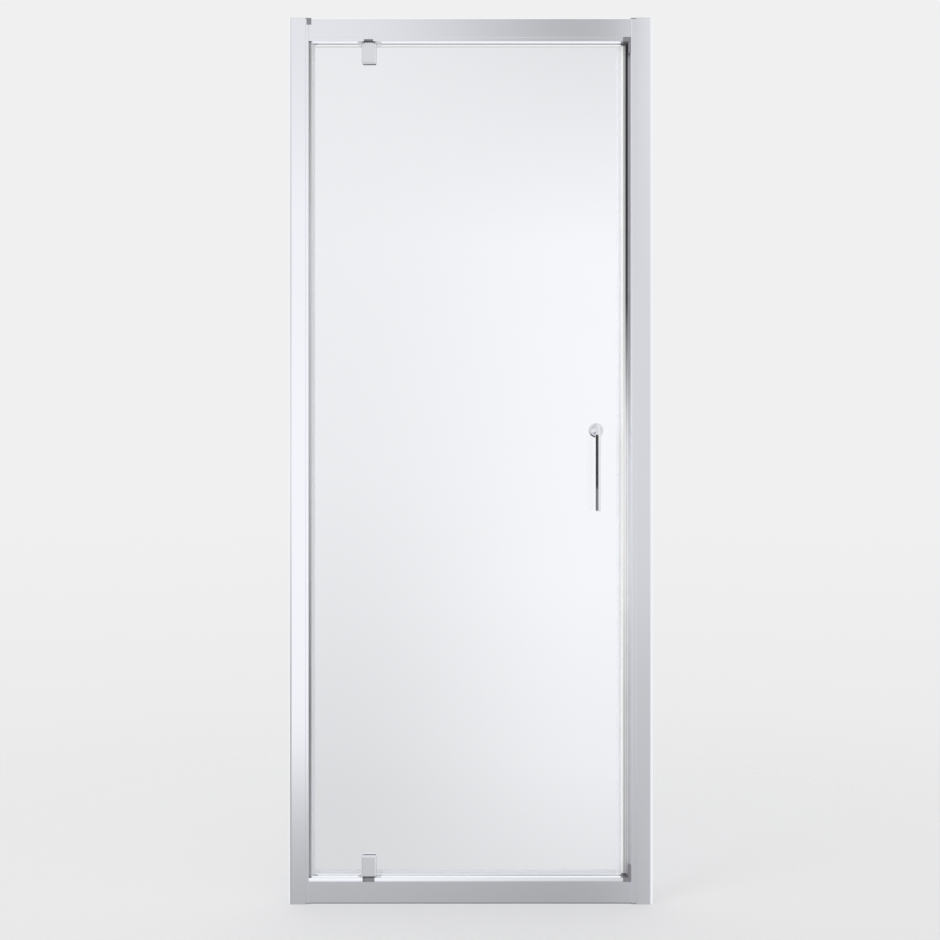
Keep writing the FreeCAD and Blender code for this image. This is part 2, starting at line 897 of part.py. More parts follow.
def handle_rosette():
    near = plate_for_rosette()
    far = near + rosette_height
    disc = rod(rosette_radius, (handle_x, -far, handle_z), Y_AXIS, rosette_height)
    rims = [e for e in disc.Edges if e.Curve.TypeId == "Part::GeomCircle"]
    disc = disc.makeFillet(rosette_round, [e for e in rims if e.CenterOfMass.y < -far + 1])
    seat = rod(post_radius, (handle_x, -far - 1, handle_z), Y_AXIS, far + 1 - near - post_seat)
    stud_hole = rod(stud_clearance, (handle_x, -far, handle_z), Y_AXIS, far)
    return without(disc, seat, stud_hole, grub_screw_space())


def grub_y():
    return -(plate_for_rosette() + post_seat + rosette_height) / 2


def grub_screw_space():
    start = (handle_x, grub_y(), handle_z - rosette_radius - 1)
    return rod(grub_radius, start, Z_AXIS, rosette_radius + 1 - post_radius)


def grub_screw():
    low = handle_z - rosette_radius + grub_inset
    return rod(grub_radius, (handle_x, grub_y(), low), Z_AXIS, handle_z - post_radius - low)


def handle_gaskets():
    disc = rod(
        handle_gasket_radius, (handle_x, -plate_for_rosette(), handle_z), Y_AXIS, gasket_thickness
    )
    start = (handle_x, -plate_for_rosette() - 1, handle_z)
    disc = disc.cut(rod(handle_glass_hole, start, Y_AXIS, gasket_thickness + 2))
    return [disc, to_inside(disc)]


def handle_sleeve():
    tube = rod(handle_sleeve_radius, (handle_x, -half_glass, handle_z), Y_AXIS, glass_thickness)
    start = (handle_x, -half_glass - 1, handle_z)
    return tube.cut(rod(stud_clearance, start, Y_AXIS, glass_thickness + 2))


def handle_stud():
    start = (handle_x, -stud_outer_end, handle_z)
    return rod(stud_radius, start, Y_AXIS, stud_outer_end + stud_inner_end)


def inner_handle_cap():
    """The round nut on the shower side that holds the handle, slotted for a driver."""
    near = plate_for_rosette()
    far = near + inner_cap_height
    disc = rod(inner_cap_radius, (handle_x, near, handle_z), Y_AXIS, inner_cap_height)
    rims = [e for e in disc.Edges if e.Curve.TypeId == "Part::GeomCircle"]
    disc = disc.makeFillet(inner_cap_round, [e for e in rims if e.CenterOfMass.y > far - 1])
    half_slot = driver_slot_width / 2
    slot = block(
        (handle_x - inner_cap_radius, handle_x + inner_cap_radius),
        (far - driver_slot_depth, far + 1),
        (handle_z - half_slot, handle_z + half_slot),
    )
    return without(disc, slot, handle_stud())


# ---- Every piece by name ------------------------------------------------------------------

def all_pieces():
    pieces = {}
    channel = wall_channel()
    per_clamp = {
        "channel_screws": [clamp_screw(z) for z in clamp_heights],
        "clamp_nuts": [clamp_nut(z) for z in clamp_heights],
        "channel_screw_covers": [screw_cover(z) for z in clamp_heights],
    }
    pieces["left_wall_channel"] = [channel]
    pieces["right_wall_channel"] = [to_right(channel)]
    for name, shapes in per_clamp.items():
        pieces["left_" + name] = shapes
        pieces["right_" + name] = [to_right(s) for s in shapes]

    pieces["left_jamb"] = [left_jamb()]
    pieces["right_jamb"] = [right_jamb()]
    pieces["left_jamb_cap"] = [jamb_plug(True, True)]
    pieces["right_jamb_cap"] = [to_right(jamb_plug(False, True))]
    pieces["left_jamb_foot"] = [jamb_plug(True, False)]
    pieces["right_jamb_foot"] = [to_right(jamb_plug(False, False))]
    pieces["bottom_rail"] = [bottom_rail()]
    pieces["top_rail"] = [top_rail()]
    pieces["corner_screws"] = corner_screws()
    pieces["left_jamb_seal"] = [left_jamb_seal()]
    pieces["jamb_magnet_seal"] = [jamb_magnet_seal()]
    pieces["jamb_magnet"] = [jamb_magnet()]
    pieces["seal_end_blocks"] = [seal_end_block(), to_top(seal_end_block())]

    # The top pivot is the bottom one turned over, without the washer that carries the weight.
    both_ends = {
        "pivot_block": [pivot_block()],
        "block_screws": block_screws(),
        "pivot_pin": [pivot_pin()],
        "pivot_bush": [pivot_bush()],
        "bracket_front": [front_bracket()],
        "bracket_back": [back_bracket()],
        "bracket_gaskets": bracket_gaskets(),
        "bracket_screw": [bracket_screw()],
        "screw_sleeve": [screw_sleeve()],
    }
    for name, shapes in both_ends.items():
        pieces["bottom_" + name] = shapes
        pieces["top_" + name] = [to_top(s) for s in shapes]
    pieces["thrust_washer"] = [thrust_washer()]

    pieces["glass_pane"] = [glass_pane()]
    pieces["pane_magnet_seal"] = [pane_magnet_seal()]
    pieces["pane_magnet"] = [pane_magnet()]
    pieces["drip_seals"] = drip_seals()

    pieces["outer_handle_bar"] = [handle_bar()]
    pieces["outer_handle_post"] = [handle_post()]
    pieces["outer_handle_rosette"] = [handle_rosette()]
    pieces["inner_handle_cap"] = [inner_handle_cap()]
    pieces["handle_grub_screw"] = [grub_screw()]
    pieces["handle_gaskets"] = handle_gaskets()
    pieces["handle_sleeve"] = [handle_sleeve()]
    pieces["handle_stud"] = [handle_stud()]
    return pieces


def write_pieces():
    os.makedirs("parts", exist_ok=True)
    for name, shapes in all_pieces().items():
        solids = [solid for shape in shapes for solid in shape.Solids]
        assert len(solids) == len(shapes), name
        assert all(solid.isValid() for solid in solids), name
        whole = solids[0] if len(solids) == 1 else Part.makeCompound(solids)
        whole.exportStep(f"parts/{name}.step")


write_pieces()
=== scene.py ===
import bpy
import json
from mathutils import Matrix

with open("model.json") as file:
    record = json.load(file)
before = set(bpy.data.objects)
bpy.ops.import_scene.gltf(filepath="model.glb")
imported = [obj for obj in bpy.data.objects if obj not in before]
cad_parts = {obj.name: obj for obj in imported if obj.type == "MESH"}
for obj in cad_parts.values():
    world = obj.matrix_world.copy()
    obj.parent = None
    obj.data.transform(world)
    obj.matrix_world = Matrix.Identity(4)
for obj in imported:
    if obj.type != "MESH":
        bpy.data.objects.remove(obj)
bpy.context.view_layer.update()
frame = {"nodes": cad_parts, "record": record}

import json
import math

import bmesh
import bpy
from mathutils import Vector

nodes = frame["nodes"]


# ---- Places and sizes, in metres --------------------------------------------------------------

DOOR_HEIGHT = 1.85

# Where the strips and blocks change across their width: each edge is a pair of X values.
HINGE_STRIP = (-0.340, -0.326)
HINGE_BASE_TO_FIN = (-0.3344, -0.3334)
HINGE_FIN_TO_TIP = (-0.3294, -0.3286)
CLOSING_STRIP = (0.305, 0.328)
CLOSING_LIP_TO_BODY = (0.3115, 0.3120)
CLOSING_BODY_TO_GRIP = (0.3150, 0.3156)
CLOSING_GRIP_TO_SIDE = (0.3194, 0.3202)
PIVOT_BLOCK = (-0.240, -0.188)
# Where the painted shade round the pin starts and ends.
PIN_SHADE_LEFT = (-0.2285, -0.2275)
PIN_SHADE_RIGHT = (-0.2005, -0.1995)

METAL_BUMP = 0.0002
SKIN_BUMP = 0.0001

FLOOR_REACH = 2.4
FLOOR_DROP = 0.0005
FLOOR_FADE = (0.45, 2.2)
FLOOR_KEPT = 0.6

CARD_START = (0.2445, -0.012)
CARD_END = (0.270, -0.122)
CARD_HEIGHTS = (0.815, 0.979)
CARD_SEEN_WITHIN = 0.085

LAMP_PLACE = (-2.6, -2.2, 2.6)
LAMP_AIM = (0, 0, 0.9)
LAMP_SIZE = (1.6, 2.0)
LAMP_POWER = 26

CAMERA_PLACE = (-0.002, -2.30, 0.906)
SENSOR_WIDTH = 36.0
FOCAL_PIXELS = 1092
PICTURE_PIXELS = 940


# ---- Tones ------------------------------------------------------------------------------------

# Levels of 0 to 255 at heights from the door's foot (0) to its top (1). They paint reflection and
# shade into the strips' colours.
# The magnet's black at the top is its own colour; its pale lower half is painted reflection.
MAGNET_AND_REFLECTION_TONES = (
    (0.0, 206), (0.24, 227), (0.38, 250), (0.52, 252), (0.62, 160), (0.68, 60), (0.80, 14),
)
# Painted reflection and shade on the closing strip's side: lighter at mid-height, darker at the
# top and foot.
CLOSING_SIDE_REFLECTION_TONES = ((0.0, 182), (0.24, 206), (0.40, 241), (0.50, 248), (0.68, 212), (0.91, 176))
# Painted shade in the hinge-side groove, with painted reflection that lightens it at mid-height.
HINGE_STRIP_SHADE_TONES = ((0.05, 168), (0.22, 144), (0.34, 168), (0.50, 200), (0.75, 212), (0.95, 164))
# Painted reflection and shade on the jamb strip: lighter at mid-height, darker towards the top
# and foot.
JAMB_STRIP_REFLECTION_TONES = (
    (0.0, 198), (0.24, 218), (0.38, 248), (0.50, 248), (0.60, 184), (0.66, 162), (1.0, 168),
)

# How dense the strips are: 0 is clear and 1 is solid.
HINGE_BASE_DENSITY, HINGE_FIN_DENSITY, HINGE_TIP_DENSITY = 0.88, 0.66, 0.36
CLOSING_LIP_DENSITY, CLOSING_BODY_DENSITY, CLOSING_GRIP_DENSITY = 0.14, 0.50, 0.90
JAMB_STRIP_DENSITY = 0.86
CLEAR_SEAL_DENSITY = 0.36
DENSITY_CLOUD = 0.08

# The glass turns from its ground edge to its clear face as its normal turns to Y.
GLASS_EDGE, GLASS_FACE = 0.80, 0.97
GLASS_IOR = 1.45

# The dark card's linear values at heights in metres: lighter over the bar's lower third.
CARD_TONES = ((0.864, 0.34), (0.872, 0.11))

# How bright the surround is at heights from straight down (0) to straight up (1). The first is
# seen directly and the next two through the glass, in levels of 0 to 255; these two paint the
# pane's shade, darker lower left, and its soft reflection, brighter at mid-height on the right.
# The others are mirrored by metal and glass, in linear values.
BACKDROP = ((0.0, 224), (0.30, 226), (0.34, 230), (0.40, 236), (0.48, 240), (1.0, 240))
BEHIND_AND_SHADE_LEFT = ((0.0, 216), (0.36, 222), (0.44, 233), (0.50, 239), (0.60, 242), (0.68, 238))
BEHIND_AND_SHEEN_RIGHT = ((0.0, 230), (0.33, 233), (0.37, 243), (0.45, 251), (0.60, 252), (0.68, 233))
MIRRORED_FAR_LEFT = (
    (0.0, 0.75), (0.22, 0.62), (0.32, 0.42), (0.41, 0.50), (0.50, 0.80), (0.59, 0.66),
    (0.70, 0.76), (1.0, 0.90),
)
MIRRORED_LEFT = (
    (0.0, 0.84), (0.22, 0.74), (0.31, 0.41), (0.345, 0.57), (0.38, 0.98), (0.50, 1.0),
    (0.62, 0.95), (0.68, 0.83), (0.75, 0.80), (1.0, 1.0),
)
MIRRORED_MIDDLE = (
    (0.0, 0.62), (0.22, 0.50), (0.305, 0.34), (0.34, 0.46), (0.45, 0.70), (0.55, 0.70),
    (0.685, 0.36), (0.80, 0.32), (1.0, 0.80),
)
MIRRORED_RIGHT = (
    (0.0, 0.60), (0.34, 0.57), (0.40, 0.55), (0.45, 0.67), (0.56, 0.71), (0.62, 0.80),
    (0.685, 0.98),
)
MIRRORED_REAR = ((0.0, 0.10), (0.12, 0.16), (0.26, 1.0), (1.0, 1.0))
MIRRORED_SIDE = 0.92

# The even light that falls on surfaces which don't mirror.
PLAIN_LIGHT = 0.97

# Where one part of the surround turns into the next, in the direction's X or Y.
BEHIND_LEFT_TO_RIGHT = (-0.13, 0.13)
LEFT_TO_MIDDLE = (-0.12, 0.16)
MIDDLE_TO_RIGHT = (0.13, 0.15)
LEFT_TO_FAR_LEFT = (-0.2, -0.4)
RIGHT_TO_SIDE = (0.18, 0.40)
FRONT_TO_REAR = (-0.3, 0.1)


def grey(level):
    """A neutral colour from a grey level of 0 to 255, as a linear value."""
    v = level / 255
    return v / 12.92 if v <= 0.04045 else ((v + 0.055) / 1.055) ** 2.4


def tint(r, g, b):
    """A colour from three levels of 0 to 255, as linear RGBA."""
    return (grey(r), grey(g), grey(b), 1.0)


# ---- Node helpers -----------------------------------------------------------------------------

def place(tree, kind, values=None, **settings):
    """A node of a kind, with its settings made and its plain inputs filled."""
    node = tree.nodes.new(kind)
    for name, value in settings.items():
        setattr(node, name, value)
    for name, value in (values or {}).items():
        node.inputs[name].default_value = value
    return node


def join(tree, output, target):
    tree.links.new(output, target)


def ramp(tree, source, stops):
    """A colour ramp over a value. Each stop is its place and a grey or an RGBA colour."""
    node = tree.nodes.new("ShaderNodeValToRGB")
    while len(node.color_ramp.elements) < len(stops):
        node.color_ramp.elements.new(0.5)
    for element, (position, colour) in zip(node.color_ramp.elements, stops):
        element.position = position
        element.color = colour if isinstance(colour, tuple) else (colour, colour, colour, 1.0)
    join(tree, source, node.inputs["Fac"])
    return node.outputs["Color"]


def arithmetic(tree, operation, *values):
    """A Math node over sockets or plain numbers."""
    node = place(tree, "ShaderNodeMath", operation=operation)
    for slot, value in enumerate(values):
        if isinstance(value, (int, float)):
            node.inputs[slot].default_value = value
        else:
            join(tree, value, node.inputs[slot])
    return node.outputs["Value"]


def rescale(tree, source, limits, **settings):
    """A value taken from one range to another. The limits left out are 0 and 1."""
    node = place(tree, "ShaderNodeMapRange", limits, **settings)
    join(tree, source, node.inputs["Value"])
    return node.outputs["Result"]


def spread_over(tree, source, edge):
    """A value that goes smoothly from 0 to 1 between an edge's two places."""
    return rescale(
        tree, source, {"From Min": edge[0], "From Max": edge[1]}, interpolation_type="SMOOTHSTEP"
    )


def blend_colours(tree, factor, first, second):
    """A colour mix by a factor. The two are sockets, numbers or RGBA colours."""
    node = place(tree, "ShaderNodeMix", data_type="RGBA", clamp_result=True)
    join(tree, factor, node.inputs[0])
    for name, value in (("A", first), ("B", second)):
        target = next(s for s in node.inputs if s.name == name and s.type == "RGBA")
        if isinstance(value, tuple):
            target.default_value = value
        elif isinstance(value, (int, float)):
            target.default_value = (value, value, value, 1.0)
        else:
            join(tree, value, target)
    return next(s for s in node.outputs if s.type == "RGBA")


def show_mixed(tree, factor, first, second):
    """Show a mix of two shaders as the material's surface."""
    mixed = place(tree, "ShaderNodeMixShader")
    join(tree, factor, mixed.inputs[0])
    join(tree, first.outputs[0], mixed.inputs[1])
    join(tree, second.outputs[0], mixed.inputs[2])
    join(tree, mixed.outputs[0], tree.nodes["Material Output"].inputs["Surface"])


def new_group(name, inputs, outputs):
    """An empty shader group of values, and its two end nodes."""
    group = bpy.data.node_groups.new(name, "ShaderNodeTree")
    for socket_name, start in inputs.items():
        socket = group.interface.new_socket(
            socket_name, in_out="INPUT", socket_type="NodeSocketFloat"
        )
        socket.default_value = start
    for socket_name in outputs:
        group.interface.new_socket(
            socket_name, in_out="OUTPUT", socket_type="NodeSocketFloat"
        )
    return group, group.nodes.new("NodeGroupInput"), group.nodes.new("NodeGroupOutput")


def use_group(tree, group, values):
    node = place(tree, "ShaderNodeGroup", node_tree=group)
    for name, value in values.items():
        node.inputs[name].default_value = value
    return node


# ---- Effects shared by several materials ------------------------------------------------------

def drawing_lines_group():
    """Fine lines left by the drawing die along an extrusion, and slow changes of its sheen."""
    group, given, made = new_group(
        "drawing lines",
        {"Across": 900.0, "Along": 2.0, "Depth": 0.25, "Sheen Change": 0.05},
        ("Lines", "Shade", "Height"),
    )
    where = place(group, "ShaderNodeTexCoord")
    split = place(group, "ShaderNodeSeparateXYZ")
    join(group, where.outputs["Object"], split.inputs[0])
    squeeze = place(group, "ShaderNodeCombineXYZ")
    for axis, scale in (("X", "Across"), ("Y", "Across"), ("Z", "Along")):
        scaled = arithmetic(group, "MULTIPLY", split.outputs[axis], given.outputs[scale])
        join(group, scaled, squeeze.inputs[axis])
    lines = place(group, "ShaderNodeTexNoise", {"Scale": 1.0, "Detail": 3.0, "Roughness": 0.6})
    join(group, squeeze.outputs[0], lines.inputs["Vector"])
    cloud = place(group, "ShaderNodeTexNoise", {"Scale": 3.0, "Detail": 2.0, "Roughness": 0.5})
    join(group, where.outputs["Object"], cloud.inputs["Vector"])
    spread = arithmetic(group, "SUBTRACT", cloud.outputs["Fac"], 0.5)
    shade = arithmetic(group, "MULTIPLY", spread, given.outputs["Sheen Change"])
    height = arithmetic(group, "MULTIPLY", lines.outputs["Fac"], given.outputs["Depth"])
    join(group, lines.outputs["Fac"], made.inputs["Lines"])
    join(group, shade, made.inputs["Shade"])
    join(group, height, made.inputs["Height"])
    return group


def edge_lightening_group():
    """A mask that is bright along sharp edges, where the colour is made lighter."""
    group, given, made = new_group(
        "edge lightening", {"Width": 0.0015, "Strength": 1.0}, ("Mask",)
    )
    bevel = place(group, "ShaderNodeBevel", samples=4)
    join(group, given.outputs["Width"], bevel.inputs["Radius"])
    face = place(group, "ShaderNodeNewGeometry")
    gap = place(group, "ShaderNodeVectorMath", operation="DISTANCE")
    join(group, bevel.outputs["Normal"], gap.inputs[0])
    join(group, face.outputs["Normal"], gap.inputs[1])
    scaled = arithmetic(group, "MULTIPLY", gap.outputs["Value"], given.outputs["Strength"])
    clipped = place(group, "ShaderNodeClamp")
    join(group, scaled, clipped.inputs["Value"])
    join(group, clipped.outputs[0], made.inputs["Mask"])
    return group


def moulded_grain_group():
    """The fine even grain of a moulded plastic or rubber skin."""
    group, given, made = new_group(
        "moulded grain", {"Scale": 900.0, "Mottle": 0.1}, ("Grain", "Shade")
    )
    where = place(group, "ShaderNodeTexCoord")
    fine = place(group, "ShaderNodeTexNoise", {"Detail": 4.0, "Roughness": 0.65})
    join(group, where.outputs["Object"], fine.inputs["Vector"])
    join(group, given.outputs["Scale"], fine.inputs["Scale"])
    slow = place(group, "ShaderNodeTexNoise", {"Scale": 18.0, "Detail": 2.0})
    join(group, where.outputs["Object"], slow.inputs["Vector"])
    spread = arithmetic(group, "SUBTRACT", slow.outputs["Fac"], 0.5)
    shade = arithmetic(group, "MULTIPLY", spread, given.outputs["Mottle"])
    join(group, fine.outputs["Fac"], made.inputs["Grain"])
    join(group, shade, made.inputs["Shade"])
    return group


drawing_lines = drawing_lines_group()
edge_lightening = edge_lightening_group()
moulded_grain = moulded_grain_group()


# ---- Parts of a material ----------------------------------------------------------------------

def start_material(name):
    material = bpy.data.materials.new(name)
    material.use_nodes = True
    tree = material.node_tree
    return material, tree, tree.nodes["Principled BSDF"]


def built(tree, look):
    """A plain value as it is, or what a function of the node tree gives."""
    return look(tree) if callable(look) else look


def shifted(tree, colour, shade):
    """A colour made lighter or darker by a small signed value."""
    toned = place(tree, "ShaderNodeHueSaturation")
    if isinstance(colour, tuple):
        toned.inputs["Color"].default_value = colour
    else:
        join(tree, colour, toned.inputs["Color"])
    join(tree, arithmetic(tree, "ADD", shade, 1.0), toned.inputs["Value"])
    return toned.outputs["Color"]


def object_axis(tree, axis):
    """The place along one of the door's own axes, in metres."""
    where = place(tree, "ShaderNodeTexCoord")
    split = place(tree, "ShaderNodeSeparateXYZ")
    join(tree, where.outputs["Object"], split.inputs[0])
    return split.outputs[axis]


def along_height(tree, tones):
    """A slightly cool grey that changes from the door's foot (0) to its top (1)."""
    height = arithmetic(tree, "DIVIDE", object_axis(tree, "Z"), DOOR_HEIGHT)
    return ramp(tree, height, [(at, tint(level, level, level + 3)) for at, level in tones])


def along_width(tree, ends, first, *changes):
    """A colour or value that starts as the first and changes at each edge across a piece."""
    low, high = ends
    stops = []
    for (start, end), following in changes:
        stops += [(start, first), (end, following)]
        first = following
    place_across = rescale(tree, object_axis(tree, "X"), {"From Min": low, "From Max": high})
    return ramp(tree, place_across, [((x - low) / (high - low), value) for x, value in stops])


def roughen(tree, shader, marks, limits):
    """A roughness that varies with the surface's marks between two limits."""
    rough = rescale(tree, marks, {"To Min": limits[0], "To Max": limits[1]})
    join(tree, rough, shader.inputs["Roughness"])


def add_bump(tree, shader, height, strength, distance):
    bump = place(tree, "ShaderNodeBump", {"Strength": strength, "Distance": distance})
    join(tree, height, bump.inputs["Height"])
    join(tree, bump.outputs["Normal"], shader.inputs["Normal"])


# ---- Materials --------------------------------------------------------------------------------

def metal(name, colour, roughness, lines, edge_colour, bump=0.05, edge=0.0008):
    """A metal with drawing lines or polishing marks, and brighter edges."""
    material, tree, shader = start_material(name)
    shader.inputs["Metallic"].default_value = 1.0
    marks = use_group(tree, drawing_lines, lines)
    edge_mask = use_group(tree, edge_lightening, {"Width": edge, "Strength": 0.5})
    body = shifted(tree, colour, marks.outputs["Shade"])
    shown = blend_colours(tree, edge_mask.outputs["Mask"], body, edge_colour)
    join(tree, shown, shader.inputs["Base Color"])
    roughen(tree, shader, marks.outputs["Lines"], roughness)
    add_bump(tree, shader, marks.outputs["Height"], bump, METAL_BUMP)
    return material


def plastic(name, colour, roughness, grain):
    """A moulded plastic or rubber with a fine grain and a slow mottle.

    The colour is a plain value, or a function of the node tree that gives one.
    """
    material, tree, shader = start_material(name)
    colour = built(tree, colour)
    skin = use_group(tree, moulded_grain, grain)
    edge_mask = use_group(tree, edge_lightening, {"Width": 0.0008, "Strength": 0.35})
    body = shifted(tree, colour, skin.outputs["Shade"])
    lighter = shifted(tree, colour, 0.25)
    shown = blend_colours(tree, edge_mask.outputs["Mask"], body, lighter)
    join(tree, shown, shader.inputs["Base Color"])
    roughen(tree, shader, skin.outputs["Grain"], roughness)
    add_bump(tree, shader, skin.outputs["Grain"], 0.08, SKIN_BUMP)
    return material


def clear_glass():
    """Toughened float glass: clear faces, greener ground edges, and light let through."""
    material, tree, shader = start_material("toughened glass")
    face = place(tree, "ShaderNodeTexCoord")
    split = place(tree, "ShaderNodeSeparateXYZ")
    join(tree, face.outputs["Normal"], split.inputs[0])
    flat = arithmetic(tree, "ABSOLUTE", split.outputs["Y"])
    skin = use_group(tree, moulded_grain, {"Scale": 40.0, "Mottle": 0.01})
    body = shifted(tree, tint(249, 251, 254), skin.outputs["Shade"])
    at_edge = ramp(tree, flat, [(GLASS_EDGE, 1.0), (GLASS_FACE, 0.0)])
    shown = blend_colours(tree, at_edge, body, tint(234, 243, 242))
    join(tree, shown, shader.inputs["Base Color"])
    ground = ramp(tree, flat, [(GLASS_EDGE, 0.12), (GLASS_FACE, 0.0)])
    join(tree, ground, shader.inputs["Roughness"])
    shader.inputs["Transmission Weight"].default_value = 1.0
    shader.inputs["IOR"].default_value = GLASS_IOR
    clear = place(tree, "ShaderNodeBsdfTransparent", {"Color": tint(250, 252, 254)})
    path = place(tree, "ShaderNodeLightPath")
    show_mixed(tree, path.outputs["Is Shadow Ray"], shader, clear)
    return material


def translucent_strip(name, colour, density):
    """Flexible strip: a glossy skin that is partly seen through, cloudier in places.

    The colour and the density are plain values, or functions of the node tree that give one.
    """
    material, tree, shader = start_material(name)
    colour, density = built(tree, colour), built(tree, density)
    skin = use_group(tree, moulded_grain, {"Scale": 300.0, "Mottle": 0.06})
    body = shifted(tree, colour, skin.outputs["Shade"])
    join(tree, body, shader.inputs["Base Color"])
    roughen(tree, shader, skin.outputs["Grain"], (0.14, 0.22))
    cloud = arithmetic(
        tree, "MULTIPLY_ADD", skin.outputs["Grain"], DENSITY_CLOUD, -DENSITY_CLOUD / 2
    )
    join(tree, arithmetic(tree, "ADD", cloud, density), shader.inputs["Alpha"])
    shader.inputs["IOR"].default_value = GLASS_IOR
    add_bump(tree, shader, skin.outputs["Grain"], 0.03, SKIN_BUMP)
    return material


def magnet_rubber():
    """Magnetic rubber under a clear skin: black above, with a painted reflection that turns it
    pale lower down.
    """
    material, tree, shader = start_material("magnetic rubber")
    skin = use_group(tree, moulded_grain, {"Scale": 1400.0, "Mottle": 0.2})
    black_and_painted_reflection = along_height(tree, MAGNET_AND_REFLECTION_TONES)
    join(tree, shifted(tree, black_and_painted_reflection, skin.outputs["Shade"]), shader.inputs["Base Color"])
    roughen(tree, shader, skin.outputs["Grain"], (0.16, 0.30))
    shader.inputs["Coat Weight"].default_value = 0.5
    add_bump(tree, shader, skin.outputs["Grain"], 0.08, SKIN_BUMP)
    return material


# The hinge and closing strips are drawn from two plastics at once: a denser one where they are
# held, and a clearer one where they wipe.

def hinge_strip_colour_and_shade(tree):
    # The strip's base is painted dark with the groove's shade and reflections; the fin keeps its
    # own pale colour.
    side = along_width(tree, HINGE_STRIP, 0.0, (HINGE_BASE_TO_FIN, 1.0))
    return blend_colours(tree, side, along_height(tree, HINGE_STRIP_SHADE_TONES), tint(226, 228, 232))


def hinge_strip_density(tree):
    return along_width(
        tree, HINGE_STRIP, HINGE_BASE_DENSITY,
        (HINGE_BASE_TO_FIN, HINGE_FIN_DENSITY), (HINGE_FIN_TO_TIP, HINGE_TIP_DENSITY),
    )


def closing_strip_painted_light(tree):
    # The white grip is a painted highlight, the bright line along the strip's edge; its side
    # takes the painted reflection along the height.
    clear, highlight_white = tint(250, 251, 254), tint(255, 255, 255)
    grip_with_highlight = along_width(tree, CLOSING_STRIP, clear, (CLOSING_BODY_TO_GRIP, highlight_white))
    side = along_width(tree, CLOSING_STRIP, 0.0, (CLOSING_GRIP_TO_SIDE, 1.0))
    return blend_colours(tree, side, grip_with_highlight, along_height(tree, CLOSING_SIDE_REFLECTION_TONES))


def closing_strip_density(tree):
    return along_width(
        tree, CLOSING_STRIP, CLOSING_LIP_DENSITY,
        (CLOSING_LIP_TO_BODY, CLOSING_BODY_DENSITY), (CLOSING_BODY_TO_GRIP, CLOSING_GRIP_DENSITY),
    )


def jamb_strip_painted_reflection(tree):
    # Painted reflection and shade along the jamb strip.
    return along_height(tree, JAMB_STRIP_REFLECTION_TONES)


def pivot_block_light_and_shade(tree):
    """Pale blocks whose ends are painted extra light against the trough's shade, with painted
    shade round the pin.
    """
    # The ends are painted light against the trough's shade; the band round the pin is painted
    # shade.
    ends, pin_shade = tint(250, 251, 253), tint(136, 136, 140)
    return along_width(tree, PIVOT_BLOCK, ends, (PIN_SHADE_LEFT, pin_shade), (PIN_SHADE_RIGHT, ends))


finish = {
    "polished_profile": metal(
        "bright drawn aluminium", tint(245, 247, 253), (0.10, 0.17),
        {"Across": 1400.0, "Along": 1.5, "Depth": 0.2, "Sheen Change": 0.03},
        tint(249, 250, 254),
    ),
    "chrome_fitting": metal(
        "polished chrome", tint(239, 240, 244), (0.03, 0.07),
        {"Across": 60.0, "Along": 60.0, "Depth": 0.05, "Sheen Change": 0.02},
        tint(245, 246, 248), bump=0.01, edge=0.0006,
    ),
    "clear_glass": clear_glass(),
    "clear_seal": translucent_strip(
        "clear seal strip", tint(249, 250, 253), CLEAR_SEAL_DENSITY
    ),
    "black_magnet": magnet_rubber(),
    "grey_plastic": plastic(
        "moulded grey plastic", tint(128, 128, 132), (0.42, 0.58),
        {"Scale": 1200.0, "Mottle": 0.12},
    ),
    "soft_gasket": plastic(
        "soft pad", tint(196, 198, 200), (0.45, 0.6), {"Scale": 900.0, "Mottle": 0.08},
    ),
    "white_nylon": plastic(
        "turned nylon", tint(232, 231, 226), (0.35, 0.5), {"Scale": 700.0, "Mottle": 0.06},
    ),
    "stainless_steel": metal(
        "stainless steel", tint(190, 190, 192), (0.22, 0.38),
        {"Across": 400.0, "Along": 400.0, "Depth": 0.3, "Sheen Change": 0.06},
        tint(226, 226, 228), edge=0.0005,
    ),
}
pivot_blocks = plastic(
    "pivot block plastic", pivot_block_light_and_shade, (0.42, 0.58), {"Scale": 1200.0, "Mottle": 0.08},
)
satin_chrome = metal(
    "satin chrome plates", tint(238, 239, 243), (0.26, 0.36),
    {"Across": 900.0, "Along": 30.0, "Depth": 0.15, "Sheen Change": 0.03},
    tint(245, 246, 248), bump=0.03, edge=0.0006,
)

# Pieces whose look differs from the rest of their material slot.
own_finish = {
    "left_jamb_seal": translucent_strip(
        "hinge side strip", hinge_strip_colour_and_shade, hinge_strip_density
    ),
    "jamb_magnet_seal": translucent_strip(
        "jamb strip", jamb_strip_painted_reflection, JAMB_STRIP_DENSITY
    ),
    "pane_magnet_seal": translucent_strip(
        "closing edge strip", closing_strip_painted_light, closing_strip_density
    ),
}
for end in ("bottom", "top"):
    own_finish[end + "_pivot_block"] = pivot_blocks
    own_finish[end + "_bracket_front"] = satin_chrome
    own_finish[end + "_bracket_back"] = satin_chrome

slot_of = {part["node"]: part["material_slot"] for part in frame["record"]["subparts"]}
for name, node in nodes.items():
    material = own_finish.get(name, finish[slot_of[name]])
    if not node.material_slots:
        node.data.materials.append(material)
    for slot in node.material_slots:
        slot.material = material


# ---- Floor, light and camera ------------------------------------------------------------------

def object_from(name, shape):
    """An object in the scene with a bmesh's shape."""
    mesh = bpy.data.meshes.new(name)
    shape.to_mesh(mesh)
    shape.free()
    made = bpy.data.objects.new(name, mesh)
    bpy.context.collection.objects.link(made)
    return made


